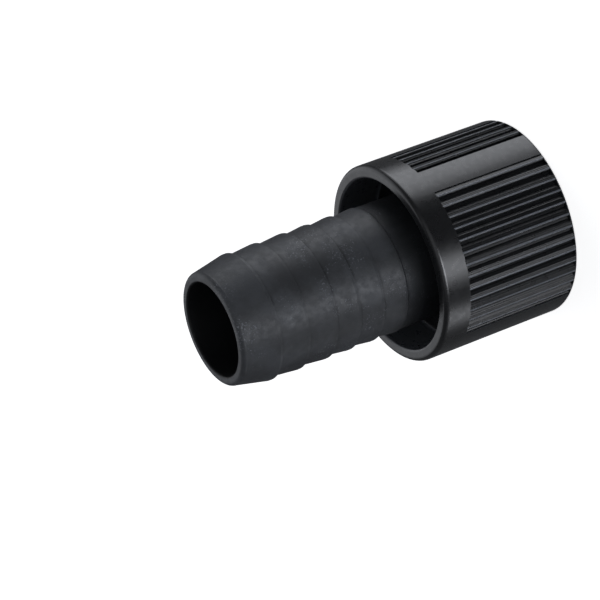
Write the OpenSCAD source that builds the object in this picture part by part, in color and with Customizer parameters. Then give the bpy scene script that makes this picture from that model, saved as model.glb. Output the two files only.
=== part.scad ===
// Suction hose adapter: a barbed hose tail held in a union nut by its collar, with a flat seal.
// It stands on the nut's open end, at z = 0, with the tip of the tail at the top.

/* [Hose tail] */
// How far the tail stands out of the nut
tail_reach = 41; // [39:0.5:55]
// Diameter of the water way through the tail
bore_d = 19.5; // [15:0.5:20.5]
// Outer diameter at the tip of the tail
tip_d = 23.6; // [22.6:0.1:24.6]
// Rounding of the tip's outer edge
tip_round = 1; // [0.3:0.1:1.5]
// Rounding of the edge between the tip and the water way
lip_round = 0.4; // [0.1:0.1:0.5]
// How far the neck behind the barbs lies below their crests
neck_step = 0.2; // [0:0.05:0.5]
// Thickness of the collar that the nut pulls against
collar_thickness = 3; // [2:0.25:4]
// How far the collar reaches out under the nut's lip
collar_grip = 1.6; // [1:0.1:2.2]
// Fillet between the neck and the collar
collar_fillet = 0.5; // [0.2:0.1:0.8]
// Chamfer of the collar's edges
collar_chamfer = 0.3; // [0.1:0.1:0.6]

/* [Barbs] */
// Diameter over the crests of the barbs
crest_d = 26.4; // [25.4:0.1:28]
// Height of each barb above the root of the next
barb_height = 0.55; // [0.3:0.05:0.9]
// Width of the straight land on each crest
land_width = 0.5; // [0.3:0.05:1]
// Length of the steep shoulder behind each crest
shoulder_length = 0.25; // [0.1:0.05:0.6]
// Distance from the tip to the first crest
first_crest = 7.9; // [6:0.1:10]
// Number of barbs with the wider pitch, next to the tip
front_barbs = 3; // [1:1:4]
// Pitch of the barbs next to the tip
front_pitch = 6.35; // [5:0.05:8]
// Number of barbs with the closer pitch, next to the nut
rear_barbs = 3; // [0:1:4]
// Pitch of the barbs next to the nut
rear_pitch = 5.45; // [4.5:0.05:7]

/* [Union nut] */
// Outer diameter of the nut
nut_d = 41.5; // [40.5:0.5:48]
// Length of the nut
nut_length = 32; // [29:0.5:40]
// Major diameter of the internal pipe thread
thread_d = 33.25; // [32.8:0.05:36]
// Length of the threaded bore
thread_length = 13; // [9:0.5:15]
// Chamfer at the mouth of the thread
mouth_chamfer = 0.9; // [0.3:0.1:1.5]
// Thickness of the lip that holds the collar
lip_thickness = 3.2; // [2:0.2:5]
// Gap round the crests in the lip's hole, so that the nut slides over the barbs
lip_clearance = 0.4; // [0.3:0.05:0.6]
// Chamfer at both ends of the lip's hole
hole_chamfer = 0.3; // [0.1:0.1:0.6]
// Axial play of the collar between the lip and the seal
collar_play = 0.3; // [0.1:0.05:0.6]
// Width of the front face, between the nut's outside and the recess round the neck
face_width = 2.6; // [1.9:0.1:4.5]
// Fillet at the bottom of the recess
recess_fillet = 0.8; // [0.2:0.1:1.5]
// Rounding of the front face's outer edge
front_round = 1; // [0.4:0.1:1.4]
// Rounding of the front face's inner edge
rim_round = 0.5; // [0.2:0.1:0.7]
// Rounding of the outer edge at the open end
end_round = 0.5; // [0.2:0.1:0.8]

/* [Grip ribs] */
// Width of the smooth band behind the front face
band_width = 5.9; // [4:0.1:9]
// Width of each groove between two ribs, at the top of the ribs
groove_width = 1.6; // [1.3:0.1:1.9]
// Depth of the grooves below the smooth band
groove_depth = 0.75; // [0.5:0.05:0.95]
// Slope of each groove's steep wall, in degrees
groove_draft = 20; // [5:1:25]
// Slope of each groove's other wall, the rising flank of a rib, in degrees
flank_draft = 52; // [30:1:60]
// Slope of the walls at the groove's ends, in degrees
end_draft = 15; // [5:1:20]
// Rounding of each rib's higher edge
rib_round = 0.3; // [0.1:0.05:0.4]
// Slant of the ribs' tops, in degrees
rib_slant = 12; // [6:1:16]
// How far each rib's higher edge lies below the smooth band and panels
rib_drop = 0.05; // [0.05:0.05:0.2]
// Width of the rim that closes the grooves at the open end
rim_width = 0.35; // [0.3:0.05:0.8]
// Angle from one groove to the next, in degrees
groove_pitch = 7; // [6.5:0.1:8]
// Number of grooves in a long group
long_grooves = 13; // [7:1:14]
// Number of grooves in a short group
short_grooves = 4; // [2:1:5]
// Angle from a long group's last groove to the short group's first, in degrees
panel_angle = 24; // [18:0.5:30]
// Number of times that the pair of groups repeats round the nut
grip_sets = 2; // [1:1:2]
// Angle of the first groove, in degrees
grip_start = -150; // [-180:1:180]

/* [Flat seal] */
// Thickness of the seal
seal_thickness = 3; // [2:0.25:4]
// Diameter of the hole in the seal
seal_hole_d = 22; // [20:0.5:26]
// How far the seal stands out beyond the collar
seal_margin = 0.3; // [0:0.05:0.4]
// Gap between the seal and its seat in the nut
seat_clearance = 0.1; // [0.05:0.05:0.2]

/* [Hidden] */
$fn = 96;
// Straight steps in each small rounding
ARC_STEPS = 6;
// How far a cut reaches past the surface that it opens
OVERSHOOT = 1;
// Most that the tip's outer and inner roundings take of its wall
TIP_ROUND_SHARE = 0.6;
LIP_ROUND_SHARE = 0.3;
// How far the cut over a rib reaches into the groove after it, in degrees
RIB_OVERLAP = 0.3;
// How far the cut of a groove reaches over the ribs beside it
GROOVE_OVERLAP = 0.15;
FLANK_OVERLAP = 0.03;

// Levels above the open end
seal_z = thread_length;
collar_z = seal_z + seal_thickness;
collar_top = collar_z + collar_thickness;
lip_z = collar_top + collar_play;
recess_z = lip_z + lip_thickness;
band_z = nut_length - band_width;
tip_z = nut_length + tail_reach;

// Radii
bore_r = bore_d / 2;
crest_r = crest_d / 2;
root_r = crest_r - barb_height;
tip_r = tip_d / 2;
tip_edge = min(tip_round, TIP_ROUND_SHARE * (tip_r - bore_r));
lip_edge = min(lip_round, LIP_ROUND_SHARE * (tip_r - bore_r));
neck_r = crest_r - neck_step;
hole_r = crest_r + lip_clearance;
collar_r = hole_r + collar_grip;
seal_r = collar_r + seal_margin;
seat_r = seal_r + seat_clearance;
thread_r = thread_d / 2;
nut_r = nut_d / 2;
recess_r = nut_r - face_width;
rib_r = nut_r - rib_drop;
floor_r = nut_r - groove_depth;

// First groove of the short group
short_start = grip_start + (long_grooves - 1) * groove_pitch + panel_angle;

// Slanted top of a rib, counted from the groove before it: where it ends, and its normal's angle and length
rib_end = groove_pitch - asin(groove_width / 2 / nut_r);
top_angle = groove_pitch / 2 + rib_slant;
top_distance = (rib_r - rib_round) * cos(top_angle) + groove_width / 2 * sin(top_angle) + rib_round;
flank_r = top_distance / cos(rib_end - top_angle) + FLANK_OVERLAP;

// Points of an arc about a centre
function arc(x, y, r, from, to) =
    [for (i = [0 : ARC_STEPS]) let (a = from + (to - from) * i / ARC_STEPS) [x + r * cos(a), y + r * sin(a)]];

// Level of a crest, counted from the tip
function crest_z(i) =
    tip_z - first_crest - min(i, front_barbs - 1) * front_pitch - max(0, i - front_barbs + 1) * rear_pitch;

// One barb seen from the side, from its shoulder up to the end of its land
function barb(i) = [
    [i == front_barbs + rear_barbs - 1 ? neck_r : root_r, crest_z(i) - land_width / 2 - shoulder_length],
    [crest_r, crest_z(i) - land_width / 2],
    [crest_r, crest_z(i) + land_width / 2],
];

module hose_tail() {
    last = front_barbs + rear_barbs - 1;
    color([0.13, 0.13, 0.14])
    rotate_extrude()
    polygon(concat(
        [[bore_r, collar_z], [collar_r - collar_chamfer, collar_z], [collar_r, collar_z + collar_chamfer]],
        [[collar_r, collar_top - collar_chamfer], [collar_r - collar_chamfer, collar_top]],
        arc(neck_r + collar_fillet, collar_top + collar_fillet, collar_fillet, 270, 180),
        [for (i = [last : -1 : 0]) each barb(i)],
        arc(tip_r - tip_edge, tip_z - tip_edge, tip_edge, 0, 90),
        arc(bore_r + lip_edge, tip_z - lip_edge, lip_edge, 90, 180)
    ));
}

// The nut as turned, before the grip is cut
module nut_body() {
    rotate_extrude()
    polygon(concat(
        [[thread_r + mouth_chamfer, 0]],
        arc(nut_r - end_round, end_round, end_round, 270, 360),
        arc(nut_r - front_round, nut_length - front_round, front_round, 0, 90),
        arc(recess_r + rim_round, nut_length - rim_round, rim_round, 90, 180),
        arc(recess_r - recess_fillet, recess_z + recess_fillet, recess_fillet, 360, 270),
        [[hole_r + hole_chamfer, recess_z], [hole_r, recess_z - hole_chamfer]],
        [[hole_r, lip_z + hole_chamfer], [hole_r + hole_chamfer, lip_z]],
        [[seat_r, lip_z], [seat_r, thread_length], [thread_r, thread_length], [thread_r, mouth_chamfer]]
    ));
}

// Section across one groove, with its centre line along +X and the rounded edge of the next rib
module groove_section() {
    slope = tan(groove_draft);
    edge = arc(rib_r - rib_round, groove_width / 2, rib_round, groove_draft - 90, 0);
    polygon(concat(
        [[nut_r + OVERSHOOT, -groove_width / 2], [flank_r, -groove_width / 2]],
        [[floor_r, (flank_r - floor_r) * tan(flank_draft) - groove_width / 2]],
        [[floor_r, edge[0][1] - (edge[0][0] - floor_r) * slope]],
        edge,
        [[rib_r, groove_width / 2 + GROOVE_OVERLAP], [nut_r + OVERSHOOT, groove_width / 2 + GROOVE_OVERLAP]]
    ));
}

// Section of what is cut away above the slanted top of the next rib
module top_section() {
    start_y = groove_width / 4;
    end = rib_end + RIB_OVERLAP;
    low_r = top_distance / cos(end - top_angle);
    out_r = nut_r + OVERSHOOT;
    polygon([
        [(top_distance - start_y * sin(top_angle)) / cos(top_angle), start_y],
        [low_r * cos(end), low_r * sin(end)],
        [out_r * cos(end), out_r * sin(end)],
        [out_r, start_y],
    ]);
}

// Groove seen from the side: it rises to the rim at the open end, and stops at the smooth band
module groove_outline() {
    polygon([
        [floor_r, rim_width + groove_depth * tan(end_draft)],
        [nut_r + OVERSHOOT, rim_width - OVERSHOOT * tan(end_draft)],
        [nut_r + OVERSHOOT, band_z],
        [floor_r, band_z - groove_depth * tan(end_draft)],
    ]);
}

module groove() {
    intersection() {
        linear_extrude(nut_length) groove_section();
        rotate([90, 0, 0]) linear_extrude(4 * groove_width, center = true) groove_outline();
    }
}

// Grooves from an angle onwards, each with the rib after it, whose top runs out at the open end
module grip_group(from, grooves) {
    for (i = [0 : grooves - 1]) rotate([0, 0, from + i * groove_pitch]) {
        groove();
        translate([0, 0, -OVERSHOOT]) linear_extrude(band_z + OVERSHOOT) top_section();
    }
}

module union_nut() {
    color([0.07, 0.07, 0.08])
    difference() {
        nut_body();
        for (set = [0 : grip_sets - 1]) rotate([0, 0, set * 180]) {
            grip_group(grip_start, long_grooves);
            grip_group(short_start, short_grooves);
        }
    }
}

module flat_seal() {
    color([0.05, 0.05, 0.05])
    translate([0, 0, seal_z])
    difference() {
        cylinder(h = seal_thickness, r = seal_r);
        translate([0, 0, -OVERSHOOT]) cylinder(h = seal_thickness + 2 * OVERSHOOT, d = seal_hole_d);
    }
}

hose_tail();
union_nut();
flat_seal();
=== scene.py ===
"""Looks of the suction hose adapter: materials, the nut's internal thread, studio and camera.

All lengths are in metres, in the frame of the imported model: the adapter stands on the nut's open
end at z = 0, and its tail points up along +Z.
"""

import math

import bpy
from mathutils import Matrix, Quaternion, Vector


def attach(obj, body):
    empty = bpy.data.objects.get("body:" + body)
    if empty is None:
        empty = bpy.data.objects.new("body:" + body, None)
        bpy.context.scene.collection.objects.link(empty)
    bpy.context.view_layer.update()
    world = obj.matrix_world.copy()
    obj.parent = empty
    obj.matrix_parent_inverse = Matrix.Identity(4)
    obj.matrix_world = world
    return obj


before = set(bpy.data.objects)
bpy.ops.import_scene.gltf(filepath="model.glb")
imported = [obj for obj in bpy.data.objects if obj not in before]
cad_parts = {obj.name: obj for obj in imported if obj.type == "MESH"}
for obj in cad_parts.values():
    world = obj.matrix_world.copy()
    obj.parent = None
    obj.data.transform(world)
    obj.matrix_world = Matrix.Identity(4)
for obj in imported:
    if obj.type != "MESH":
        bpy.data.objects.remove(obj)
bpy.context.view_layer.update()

MM = 0.001

# Camera, as fitted to the photograph: a long lens, turned so that the tail points down to the left
AIM = Vector((-0.5, 0.0, 52.95)) * MM
CAMERA_DISTANCE = 554.2 * MM
CAMERA_AZIMUTH = -90
CAMERA_ELEVATION = 25.16
CAMERA_ROLL = 110.47
LENS = 168
SENSOR = 36

# What each plastic looks like: its darkest and lightest grey, the roughness and how far that
# varies, the strength and scale of the grain, and how much its pale specks show
PLASTICS = {
    "nut_plastic": {
        "dark": 0.006, "light": 0.009, "roughness": 0.3, "roughness_spread": 0.03,
        "grain": 0.12, "grain_scale": 3000.0, "speckle": 0.15,
    },
    "tail_plastic": {
        "dark": 0.027, "light": 0.046, "roughness": 0.55, "roughness_spread": 0.04,
        "grain": 0.75, "grain_scale": 2600.0, "speckle": 1.0,
    },
    "seal_rubber": {
        "dark": 0.02, "light": 0.025, "roughness": 0.6, "roughness_spread": 0.05,
        "grain": 0.4, "grain_scale": 2000.0, "speckle": 0.2,
    },
}
# Green and blue of every grey, as a share of its red
GREY_GREEN = 1.08
GREY_BLUE = 1.22
# Turn of the noises in radians, and a spacing of their octaves that isn't whole: so no plane of
# their lattices shows as a band along the part
NOISE_TURN = (0.6, 0.4, 0.9)
LACUNARITY = 2.3
# Noises shared by the plastics, and the spans of noise that the looks are taken from
CLOUD_SCALE = 150.0
CLOUD_DETAIL = 3.0
CLOUD_SPAN = (0.35, 0.65)
PATCH_SCALE = 130.0
PATCH_SPAN = (0.5, 0.61)
PATCH_SHARES = (0.04, 1.0)
FINE_ROUGHNESS = 0.6
COARSE_SCALE_SHARE = 0.3
GLOSS_SPAN = (0.3, 0.7)
SPECK_SPAN = (0.57, 0.71)
SPECK_LIGHTNESS = 3.2
FINE_HEIGHT = 0.8
COARSE_HEIGHT = 0.3
GRAIN_DEPTH = 0.03 * MM
SPECULAR = 0.5
IOR = 1.5

# Nut's grip, told apart by radius: grooves dulled as painted shade, rib tops with fine lines along
# them, and rib edges paled as a painted highlight
GRIP_TOP_Z = 26.1 * MM
GRIP_INNER_R = 19.6 * MM
GROOVE_R = 20.1 * MM
GROOVE_FADE = 0.15 * MM
EDGE_R = 20.685 * MM
SMOOTH_R = 20.735 * MM
GRIP_FADE = 0.02 * MM
LINES_ROUND = 360
LINE_HEIGHT = 4.0
# Pale colour of the rib edges: a painted highlight
EDGE_HIGHLIGHT_COLOUR = 0.16
RIB_DULLING = 0.14
# Dulling of the grooves' shine: painted shade
GROOVE_SHADE_DULLING = 0.22
# Nut's recess round the tail: the hole, floor and fillet, which are dulled as painted shade, and
# the wall, lightened as a painted reflection
RECESS_LOW_Z = 18.0 * MM
RECESS_HIGH_Z = 23.4 * MM
RECESS_R = 18.3 * MM
RECESS_FADE = 0.4 * MM
# Dulling of the recess's hole, floor and fillet: painted shade
RECESS_SHADE_DULLING = 0.4
WALL_R = 18.1 * MM
WALL_SPREAD = 0.25 * MM
WALL_FADE = 0.1 * MM
# Lighter colour of the recess wall: a painted reflection
PAINTED_WALL_REFLECTION_COLOUR = 0.06

# Tail: the bore and neck, darkened as painted shade, and bands of painted shade behind the barbs'
# crests
BORE_R = 9.85 * MM
BORE_FADE = 0.4 * MM
NECK_Z = 31.0 * MM
NECK_FADE = 8.0 * MM
NECK_SHADE_SHARE = 0.8
# Colour and dulling of the bore and neck: painted shade
BORE_NECK_SHADE_COLOUR = 0.005
BORE_NECK_SHADE_DULLING = 0.3
CREST_LEVELS = [z * MM for z in (65.1, 58.75, 52.4, 46.95, 41.5, 36.05)]
# How far below its crest a band of painted shade begins and ends, each with its fade
CREST_BAND_START = (1.1 * MM, 0.6 * MM)
CREST_BAND_END = (0.35 * MM, 0.25 * MM)
CREST_PATCH_SPAN = (0.4, 0.6)
CREST_SHARES = (0.1, 0.4)
# Darker bands behind the crests: painted shade
CREST_SHADE_COLOUR = 0.004
CREST_SHADE_DULLING = 0.3

# Internal pipe thread of the nut
THREAD_ROOT_R = 16.64 * MM
THREAD_CREST_R = 15.15 * MM
THREAD_PITCH = 2.309 * MM
THREAD_START_Z = 1.9 * MM
THREAD_END_Z = 11.9 * MM
THREAD_FADE_TURNS = 0.3
THREAD_STEPS_PER_TURN = 72
# Narrowest that the ridge gets where it fades out, as a share of its width
THREAD_LEAST_WIDTH = 0.05
# Ridge section: distance from the ridge's middle in pitches, and height as a share of its depth
THREAD_SECTION = [(-0.5, 0.0), (-0.36, 0.08), (-0.15, 0.86), (-0.07, 1.0),
                  (0.07, 1.0), (0.15, 0.86), (0.36, 0.08), (0.5, 0.0)]

# Studio
FLOOR_SIZE = 6.0
FLOOR_DROP = 0.05 * MM
FLOOR_COLOUR = (0.85, 0.85, 0.85, 1.0)
FLOOR_CAMERA_GLOW = 0.8
# Soft light panels: azimuth and elevation of the middle, inner and outer angle, and strength
PANELS = [
    (-3, -20, 15, 29, 3.2),
    (-118, -12, 8, 22, 10.0),
    (-172, -10, 14, 30, 0.3),
    (-178, -25, 5, 11, 3.2),
    (60, 38, 20, 45, 1.0),
    (-100, 34, 20, 45, 0.55),
]
ROOM_STRENGTH = 0.12
ROOM_COLOUR = (0.96, 0.985, 1.04, 1.0)
WHITE = (1.0, 1.0, 1.0, 1.0)


def direction(azimuth, elevation):
    """Unit vector at an azimuth counted from +X towards +Y, and an elevation, both in degrees."""
    a, e = math.radians(azimuth), math.radians(elevation)
    return Vector((math.cos(a) * math.cos(e), math.sin(a) * math.cos(e), math.sin(e)))


# Materials


class Nodes:
    """Short forms for building one node tree."""

    def __init__(self, tree):
        self.tree = tree
        tree.nodes.clear()

    def feed(self, socket, value):
        if isinstance(value, bpy.types.NodeSocket):
            self.tree.links.new(value, socket)
        else:
            socket.default_value = value

    def add(self, kind, inputs=None, **settings):
        node = self.tree.nodes.new(kind)
        for key, value in settings.items():
            setattr(node, key, value)
        for key, value in (inputs or {}).items():
            self.feed(node.inputs[key], value)
        return node

    def math(self, operation, a, b=0.0):
        return self.add("ShaderNodeMath", {0: a, 1: b}, operation=operation).outputs[0]

    def mapped(self, value, span, shares=(0.0, 1.0)):
        """Smooth step from the first share to the second, as the value goes through the span."""
        inputs = {
            "Value": value,
            "From Min": span[0], "From Max": span[1],
            "To Min": shares[0], "To Max": shares[1],
        }
        node = self.add("ShaderNodeMapRange", inputs, interpolation_type="SMOOTHSTEP")
        return node.outputs["Result"]

    def inside(self, value, limit, fade, share=1.0):
        """The share up to a limit, fading to nothing beyond it."""
        return self.mapped(value, (limit, limit + fade), (share, 0.0))

    def outside(self, value, limit, fade, share=1.0):
        """The share from a limit on, faded in before it."""
        return self.mapped(value, (limit - fade, limit), (0.0, share))

    def noise(self, vector, scale, detail=2.0, roughness=0.5):
        inputs = {
            "Vector": vector, "Scale": scale, "Detail": detail, "Roughness": roughness,
            "Lacunarity": LACUNARITY,
        }
        return self.add("ShaderNodeTexNoise", inputs).outputs["Fac"]

    def mix(self, factor, a, b):
        node = self.add("ShaderNodeMix", data_type="RGBA")
        for key, value in {"Factor": factor, "A": a, "B": b}.items():
            self.feed(next(s for s in node.inputs if s.name == key and s.enabled), value)
        return next(s for s in node.outputs if s.enabled)

    def position(self, place):
        """A place's x, y, z and distance from the axis."""
        x, y, z = self.add("ShaderNodeSeparateXYZ", {"Vector": place}).outputs
        flat = self.add("ShaderNodeVectorMath", {0: place, 1: (1, 1, 0)}, operation="MULTIPLY")
        length = self.add("ShaderNodeVectorMath", {0: flat.outputs[0]}, operation="LENGTH")
        return x, y, z, length.outputs["Value"]


def grey(level):
    return (level, level * GREY_GREEN, level * GREY_BLUE, 1.0)


def grip_masks(n, x, y, z, r):
    """Masks of the ribs, grooves and rib edges (the edges take a painted highlight), and the
    height of the fine lines on the ribs.
    """
    grip = n.math(
        "MULTIPLY",
        n.outside(r, GRIP_INNER_R, GRIP_FADE),
        n.inside(z, GRIP_TOP_Z - GRIP_FADE, GRIP_FADE),
    )
    rib = n.math("MULTIPLY", grip, n.inside(r, SMOOTH_R - GRIP_FADE, GRIP_FADE))
    groove = n.math("MULTIPLY", rib, n.inside(r, GROOVE_R, GROOVE_FADE))
    edge_highlight = n.math("MULTIPLY", rib, n.outside(r, EDGE_R, GRIP_FADE))
    wave = n.math("SINE", n.math("MULTIPLY", n.math("ARCTAN2", y, x), LINES_ROUND))
    tops = n.math("SUBTRACT", rib, groove)
    lines = n.math("MULTIPLY", n.math("MULTIPLY", wave, LINE_HEIGHT), tops)
    return rib, groove, edge_highlight, lines


def nut_details(n, place, look):
    """Grooves and recess dulled as painted shade, lined ribs with edges paled as a painted
    highlight, and the recess wall lightened as a painted reflection.
    """
    x, y, z, r = n.position(place)
    rib, groove, edge_highlight, lines = grip_masks(n, x, y, z, r)
    # Rib edges paled: a painted highlight
    colour = n.mix(edge_highlight, look["colour"], grey(EDGE_HIGHLIGHT_COLOUR))
    # Recess wall lightened: a painted reflection
    off_wall = n.math("ABSOLUTE", n.math("SUBTRACT", r, WALL_R))
    wall = n.inside(off_wall, WALL_SPREAD, WALL_FADE)
    look["colour"] = n.mix(wall, colour, grey(PAINTED_WALL_REFLECTION_COLOUR))
    look["height"] = n.math("ADD", look["height"], lines)
    rib_dulling = n.math("MULTIPLY", rib, RIB_DULLING)
    # Grooves dulled: painted shade
    groove_shade_dulling = n.math("MULTIPLY", groove, GROOVE_SHADE_DULLING)
    shine = n.math("SUBTRACT", look["shine"], n.math("ADD", rib_dulling, groove_shade_dulling))
    # Recess dulled: painted shade
    recess = n.outside(z, RECESS_LOW_Z, RECESS_FADE, RECESS_SHADE_DULLING)
    recess = n.math("MULTIPLY", recess, n.inside(z, RECESS_HIGH_Z, RECESS_FADE))
    recess_shade_dulling = n.math("MULTIPLY", recess, n.inside(r, RECESS_R, RECESS_FADE))
    look["shine"] = n.math("SUBTRACT", shine, recess_shade_dulling)


def crest_shade_bands(n, z):
    """Mask of a narrow band of painted shade behind each barb's crest."""
    total = 0.0
    for level in CREST_LEVELS:
        start = n.mapped(z, [level - below for below in CREST_BAND_START])
        end = n.mapped(z, [level - below for below in CREST_BAND_END], (1.0, 0.0))
        total = n.math("ADD", n.math("MULTIPLY", start, end), total)
    return total


def tail_details(n, place, look):
    """Bands of painted shade behind the crests, and painted shade on the bore and neck."""
    _, _, z, r = n.position(place)
    patchy = n.mapped(look["patches"], CREST_PATCH_SPAN, CREST_SHARES)
    # Bands behind the crests darkened and dulled: painted shade
    shade = n.math("MULTIPLY", crest_shade_bands(n, z), patchy)
    colour = n.mix(shade, look["colour"], grey(CREST_SHADE_COLOUR))
    # Bore and neck darkened and dulled: painted shade
    bore = n.inside(r, BORE_R, BORE_FADE)
    neck = n.inside(z, NECK_Z, NECK_FADE, NECK_SHADE_SHARE)
    bore_neck_shade = n.math("MAXIMUM", bore, neck)
    look["colour"] = n.mix(bore_neck_shade, colour, grey(BORE_NECK_SHADE_COLOUR))
    shade_dulling = n.math("MULTIPLY", shade, CREST_SHADE_DULLING)
    bore_neck_shade_dulling = n.math("MULTIPLY", bore_neck_shade, BORE_NECK_SHADE_DULLING)
    look["shine"] = n.math("SUBTRACT", look["shine"], n.math("ADD", shade_dulling, bore_neck_shade_dulling))


def plastic(name, details=None):
    """Moulded black plastic: a faint cloudiness, a fine grain and clusters of pale specks.

    The details, if any, change the look's colour, height and shine for one piece, and can use
    its patches.
    """
    own = PLASTICS[name]
    material = bpy.data.materials.new(name)
    material.use_nodes = True
    n = Nodes(material.node_tree)
    place = n.add("ShaderNodeTexCoord").outputs["Object"]
    turn_inputs = {"Vector": place, "Rotation": NOISE_TURN}
    turned = n.add("ShaderNodeVectorRotate", turn_inputs, rotation_type="EULER_XYZ").outputs[0]
    cloud = n.noise(turned, CLOUD_SCALE, CLOUD_DETAIL)
    fine = n.noise(turned, own["grain_scale"], roughness=FINE_ROUGHNESS)
    coarse = n.noise(turned, own["grain_scale"] * COARSE_SCALE_SHARE)
    patches = n.noise(turned, PATCH_SCALE)

    base = n.mix(n.mapped(cloud, CLOUD_SPAN), grey(own["dark"]), grey(own["light"]))
    specks = n.math(
        "MULTIPLY",
        n.mapped(fine, SPECK_SPAN, (0.0, own["speckle"])),
        n.mapped(patches, PATCH_SPAN, PATCH_SHARES),
    )
    fine_height = n.math("MULTIPLY", fine, FINE_HEIGHT)
    coarse_height = n.math("MULTIPLY", coarse, COARSE_HEIGHT)
    look = {
        "colour": n.mix(specks, base, grey(own["light"] * SPECK_LIGHTNESS)),
        "height": n.math("ADD", fine_height, coarse_height),
        "shine": SPECULAR,
        "patches": patches,
    }
    if details:
        details(n, place, look)

    smoothest = own["roughness"] - own["roughness_spread"]
    roughest = own["roughness"] + own["roughness_spread"]
    bump_inputs = {"Height": look["height"], "Strength": own["grain"], "Distance": GRAIN_DEPTH}
    shader = n.add("ShaderNodeBsdfPrincipled", {
        "Base Color": look["colour"],
        "Roughness": n.mapped(coarse, GLOSS_SPAN, (smoothest, roughest)),
        "Normal": n.add("ShaderNodeBump", bump_inputs).outputs["Normal"],
        "Specular IOR Level": look["shine"],
        "IOR": IOR,
    })
    n.add("ShaderNodeOutputMaterial", {"Surface": shader.outputs[0]})
    return material


def dress(piece, material):
    piece.data.materials.clear()
    piece.data.materials.append(material)


# Thread


def ridge_mesh(name):
    """One right-hand helical ridge that fades into the wall at both ends."""
    turns = (THREAD_END_Z - THREAD_START_Z) / THREAD_PITCH
    steps = round(turns * THREAD_STEPS_PER_TURN)
    points, faces = [], []
    for i in range(steps + 1):
        turn = i / THREAD_STEPS_PER_TURN
        fade = min(1.0, turn / THREAD_FADE_TURNS, max(0.0, turns - turn) / THREAD_FADE_TURNS)
        depth = (THREAD_ROOT_R - THREAD_CREST_R) * math.sin(0.5 * math.pi * fade)
        angle = 2 * math.pi * turn
        for along, height in THREAD_SECTION:
            r = THREAD_ROOT_R - depth * height
            z = THREAD_START_Z + THREAD_PITCH * (turn + along * max(fade, THREAD_LEAST_WIDTH))
            points.append((r * math.cos(angle), r * math.sin(angle), z))
    width = len(THREAD_SECTION)
    for i in range(steps):
        here, ahead = i * width, (i + 1) * width
        for j in range(width):
            k = (j + 1) % width
            faces.append((here + j, here + k, ahead + k, ahead + j))
    faces.append(tuple(range(width))[::-1])
    faces.append(tuple(steps * width + j for j in range(width)))
    mesh = bpy.data.meshes.new(name)
    mesh.from_pydata(points, [], faces)
    mesh.validate()
    mesh.polygons.foreach_set("use_smooth", [True] * len(mesh.polygons))
    mesh.update()
    return mesh


# Studio


def make_floor():
    """White floor that is clear from below, with a glow that only the camera sees."""
    mesh = bpy.data.meshes.new("floor")
    half = FLOOR_SIZE / 2
    corners = [(-half, -half, 0), (half, -half, 0), (half, half, 0), (-half, half, 0)]
    mesh.from_pydata(corners, [], [(0, 1, 2, 3)])
    floor = bpy.data.objects.new("floor", mesh)
    floor.location = (0, 0, -FLOOR_DROP)
    bpy.context.scene.collection.objects.link(floor)
    material = bpy.data.materials.new("floor_white")
    material.use_nodes = True
    n = Nodes(material.node_tree)
    white = n.add("ShaderNodeBsdfDiffuse", {"Color": FLOOR_COLOUR})
    seen = n.add("ShaderNodeLightPath").outputs["Is Camera Ray"]
    glow = n.add("ShaderNodeEmission", {"Strength": n.math("MULTIPLY", seen, FLOOR_CAMERA_GLOW)})
    lit = n.add("ShaderNodeAddShader", {0: white.outputs[0], 1: glow.outputs[0]})
    below = n.add("ShaderNodeNewGeometry").outputs["Backfacing"]
    clear = n.add("ShaderNodeBsdfTransparent")
    both = n.add("ShaderNodeMixShader", {0: below, 1: lit.outputs[0], 2: clear.outputs[0]})
    n.add("ShaderNodeOutputMaterial", {"Surface": both.outputs[0]})
    dress(floor, material)
    floor.visible_glossy = False


def make_world():
    """White to the camera, and to everything else a dim room with soft light panels."""
    world = bpy.data.worlds.new("studio")
    world.use_nodes = True
    bpy.context.scene.world = world
    n = Nodes(world.node_tree)
    ray = n.add("ShaderNodeTexCoord").outputs["Generated"]
    total = ROOM_STRENGTH
    for azimuth, elevation, inner, outer, strength in PANELS:
        towards = tuple(direction(azimuth, elevation))
        along = n.add("ShaderNodeVectorMath", {0: ray, 1: towards}, operation="DOT_PRODUCT")
        span = (math.cos(math.radians(outer)), math.cos(math.radians(inner)))
        panel = n.mapped(along.outputs["Value"], span, (0.0, strength))
        total = n.math("ADD", panel, total)
    room = n.add("ShaderNodeBackground", {"Color": ROOM_COLOUR, "Strength": total})
    white = n.add("ShaderNodeBackground", {"Color": WHITE, "Strength": 1.0})
    seen = n.add("ShaderNodeLightPath").outputs["Is Camera Ray"]
    both = n.add("ShaderNodeMixShader", {0: seen, 1: room.outputs[0], 2: white.outputs[0]})
    n.add("ShaderNodeOutputWorld", {"Surface": both.outputs[0]})


def make_camera():
    data = bpy.data.cameras.new("camera")
    data.lens = LENS
    data.sensor_width = SENSOR
    camera = bpy.data.objects.new("camera", data)
    bpy.context.scene.collection.objects.link(camera)
    back = direction(CAMERA_AZIMUTH, CAMERA_ELEVATION)
    camera.location = AIM + back * CAMERA_DISTANCE
    camera.rotation_mode = "QUATERNION"
    upright = (-back).to_track_quat("-Z", "Y")
    camera.rotation_quaternion = upright @ Quaternion((0, 0, 1), -math.radians(CAMERA_ROLL))
    bpy.context.scene.camera = camera


make_camera()
make_world()
make_floor()
bpy.context.scene.view_settings.view_transform = "Standard"

nut_plastic = plastic("nut_plastic", nut_details)
dress(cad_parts["union_nut"], nut_plastic)
dress(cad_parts["hose_tail"], plastic("tail_plastic", tail_details))
dress(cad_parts["flat_seal"], plastic("seal_rubber"))

thread = bpy.data.objects.new("pipe_thread", ridge_mesh("pipe_thread"))
bpy.context.scene.collection.objects.link(thread)
dress(thread, nut_plastic)
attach(thread, "nut")
